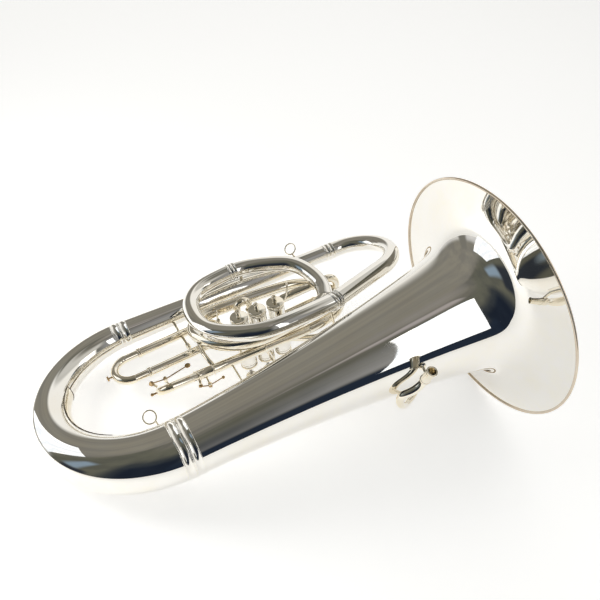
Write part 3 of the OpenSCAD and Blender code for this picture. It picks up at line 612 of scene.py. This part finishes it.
def room_world():
    """The room that the silver reflects: a band of tones by height, with dark and pale patches over it."""
    room = bpy.data.worlds.new("studio_room")
    bpy.context.scene.world = room
    room.use_nodes = True
    nodes, links = room.node_tree.nodes, room.node_tree.links
    direction = nodes.new("ShaderNodeTexCoord").outputs["Generated"]

    def math_node(operation, *values):
        node = nodes.new("ShaderNodeMath")
        node.operation = operation
        for socket, value in zip(node.inputs, values):
            if isinstance(value, (int, float)):
                socket.default_value = value
            else:
                links.new(value, socket)
        return node.outputs["Value"]

    def soft_band(value, low, high, soft):
        masks = []
        for edge, start, end in ((low, 0, 1), (high, 1, 0)):
            node = nodes.new("ShaderNodeMapRange")
            node.interpolation_type = "SMOOTHSTEP"
            node.inputs["From Min"].default_value = edge - soft
            node.inputs["From Max"].default_value = edge + soft
            node.inputs["To Min"].default_value = start
            node.inputs["To Max"].default_value = end
            links.new(value, node.inputs["Value"])
            masks.append(node.outputs["Result"])
        return math_node("MULTIPLY", *masks)

    split = nodes.new("ShaderNodeSeparateXYZ")
    links.new(direction, split.inputs["Vector"])
    elevation = math_node("MULTIPLY", math_node("ARCSINE", split.outputs["Z"]), math.degrees(1))

    def azimuth_from(centre):
        turn = nodes.new("ShaderNodeVectorRotate")
        turn.rotation_type = "Z_AXIS"
        turn.inputs["Angle"].default_value = -math.radians(centre)
        links.new(direction, turn.inputs["Vector"])
        turned = nodes.new("ShaderNodeSeparateXYZ")
        links.new(turn.outputs["Vector"], turned.inputs["Vector"])
        angle = math_node("ARCTAN2", turned.outputs["Y"], turned.outputs["X"])
        return math_node("MULTIPLY", angle, math.degrees(1))

    def patch(under, colour, azimuths, elevations, soft):
        """A soft-edged patch, between azimuths and elevations in degrees, laid over what is there."""
        centre = sum(azimuths) / 2
        half = (azimuths[1] - azimuths[0]) / 2
        across = soft_band(azimuth_from(centre), -half, half, soft)
        mix = nodes.new("ShaderNodeMix")
        mix.data_type = "RGBA"
        mask = math_node("MULTIPLY", across, soft_band(elevation, *elevations, soft))
        links.new(mask, mix.inputs["Factor"])
        links.new(under, mix.inputs["A"])
        mix.inputs["B"].default_value = (*colour, 1)
        return mix.outputs["Result"]

    height = math_node("DIVIDE", math_node("ADD", elevation, 90), 180)
    colour = ramp(nodes, links, height, ROOM_TONES)
    for tone, azimuths, elevations, soft in DARK_PATCHES:
        colour = patch(colour, tone, azimuths, elevations, soft)
    clutter = noise(nodes, links, direction, scale=4.5, detail=3, rough=0.5, stretch=(1, 1, 0.6))
    shade = nodes.new("ShaderNodeMix")
    shade.data_type = "RGBA"
    shade.blend_type = "MULTIPLY"
    shade.inputs["Factor"].default_value = 1
    links.new(colour, shade.inputs["A"])
    links.new(ramp(nodes, links, clutter, CLUTTER_TONES), shade.inputs["B"])
    colour = shade.outputs["Result"]
    for tone, azimuths, elevations, soft in PALE_PATCHES:
        colour = patch(colour, tone, azimuths, elevations, soft)
    links.new(colour, nodes["Background"].inputs["Color"])


def softbox(name, corners, strength, folds):
    """A glowing cloth panel between four corners, with a few soft folds. The camera doesn't see it."""
    steps = 24
    low_left, low_right, top_left, top_right = (np.array(corner) for corner in corners)
    points = []
    for i in range(steps + 1):
        for j in range(steps + 1):
            u, v = i / steps, j / steps
            low = low_left + (low_right - low_left) * u
            top = top_left + (top_right - top_left) * u
            points.append(low + (top - low) * v)
    row = steps + 1
    faces = [(i * row + j, i * row + j + 1, (i + 1) * row + j + 1, (i + 1) * row + j)
             for i in range(steps) for j in range(steps)]
    mesh = bpy.data.meshes.new(name)
    mesh.from_pydata([tuple(p) for p in points], [], faces)
    panel = bpy.data.objects.new(name, mesh)
    bpy.context.collection.objects.link(panel)
    material, nodes, links, shader = new_material(name + "_cloth")
    place = nodes.new("ShaderNodeTexCoord").outputs["Generated"]
    creases = noise(nodes, links, place, scale=folds, detail=2, rough=0.5, stretch=(1, 1, 0.6))
    shader.inputs["Base Color"].default_value = (0.1, 0.1, 0.1, 1)
    tone = ramp(nodes, links, creases, [(0.42, (0.62, 0.66, 0.72)), (0.6, (1, 1, 1))])
    links.new(tone, shader.inputs["Emission Color"])
    shader.inputs["Emission Strength"].default_value = strength
    mesh.materials.append(material)
    panel.visible_camera = False


# Tones of the room by height, from straight down at 0 to straight up at 1, and of the clutter laid over them.
ROOM_TONES = [
    (0.0, (0.75, 0.75, 0.74)), (0.49, (0.75, 0.75, 0.74)), (0.53, (0.17, 0.17, 0.15)),
    (0.84, (0.14, 0.138, 0.115)), (0.92, (0.165, 0.16, 0.14)), (1.0, (0.36, 0.34, 0.31))
]
CLUTTER_TONES = [(0.38, (0.9, 0.9, 0.92)), (0.62, (1.1, 1.09, 1.06))]

# Each patch: linear colour, then azimuths, elevations and edge softness in degrees. Later ones lie on top.
DARK_PATCHES = [
    ((0.24, 0.23, 0.20), (78, 150), (0, 80), 8),
    ((0.12, 0.122, 0.10), (-205, -105), (-30, 68), 6),
    ((0.30, 0.30, 0.30), (-96, -58), (18, 70), 9),
    ((0.045, 0.052, 0.058), (-158, -96), (-30, 46), 8),
    ((0.014, 0.020, 0.034), (-150, -96), (-30, 34), 9),
    ((0.016, 0.024, 0.042), (-108, -60), (-30, 17), 5),
    ((0.03, 0.036, 0.048), (168, 192), (-30, 6), 4)
]
PALE_PATCHES = [
    ((0.98, 0.965, 0.93), (-35, 76), (-30, 48), 6),
    ((0.62, 0.61, 0.58), (-58, 62), (46, 68), 8),
    ((1.8, 1.8, 1.78), (-50, -22), (22, 46), 3),
    ((0.25, 0.33, 0.42), (168, 181), (6, 34), 4),
    ((0.40, 0.37, 0.37), (-118, -100), (72, 79), 3),
    ((0.20, 0.195, 0.175), (121, 131), (-30, 18), 2)
]

# Corners of the two glowing panels in metres: low left, low right, top left and top right.
SIDE_CORNERS = [(0.21, -1.46, 0.42), (0.41, -1.46, 0.42), (-0.02, -0.68, 1.54), (0.14, -0.61, 1.64)]
UMBRELLA_CORNERS = [(-0.98, 0.34, 0.08), (-0.70, 0.76, 0.08), (-1.02, 0.36, 0.72), (-0.74, 0.78, 0.72)]
CENTRE = Vector((0, 0, 0.15))
KEY_TARGET = CENTRE + Vector((0.2, 0, 0.05))

softbox("side_softbox", SIDE_CORNERS, strength=1.7, folds=5)
make_floor()
room_world()
WARM_WHITE = (1, 0.99, 0.97)
area_light("key_umbrella", (-0.85, 0.45, 0.42), KEY_TARGET, size=0.42, size_y=0.7, power=7, colour=WARM_WHITE)
softbox("umbrella", UMBRELLA_CORNERS, strength=1.5, folds=4)
area_light("overhead_fill", (0.5, 0.4, 2.6), CENTRE, size=3.4, size_y=3.4, power=17, colour=(1, 1, 1))

# The camera in the body frame: its place, and its right and view directions.
CAMERA_PLACE = (-100.6, -764.0, 918.3)
CAMERA_RIGHT = (0.867, -0.484, -0.114)
CAMERA_FORWARD = (0.297, 0.688, -0.662)
LENS = 45.42
SENSOR_WIDTH = 36

camera_data = bpy.data.cameras.new("camera")
camera_data.lens = LENS
camera_data.sensor_width = SENSOR_WIDTH
camera = bpy.data.objects.new("camera", camera_data)
bpy.context.collection.objects.link(camera)
forward = unit(TURN @ np.array(CAMERA_FORWARD))
right = unit(TURN @ np.array(CAMERA_RIGHT))
right = unit(right - right @ forward * forward)
upward = np.cross(right, forward)
spin = Matrix(np.column_stack([right, upward, -forward]).tolist()).to_4x4()
camera.matrix_world = Matrix.Translation(Vector(world([CAMERA_PLACE])[0])) @ spin
bpy.context.scene.camera = camera
bpy.context.scene.view_settings.view_transform = "Standard"
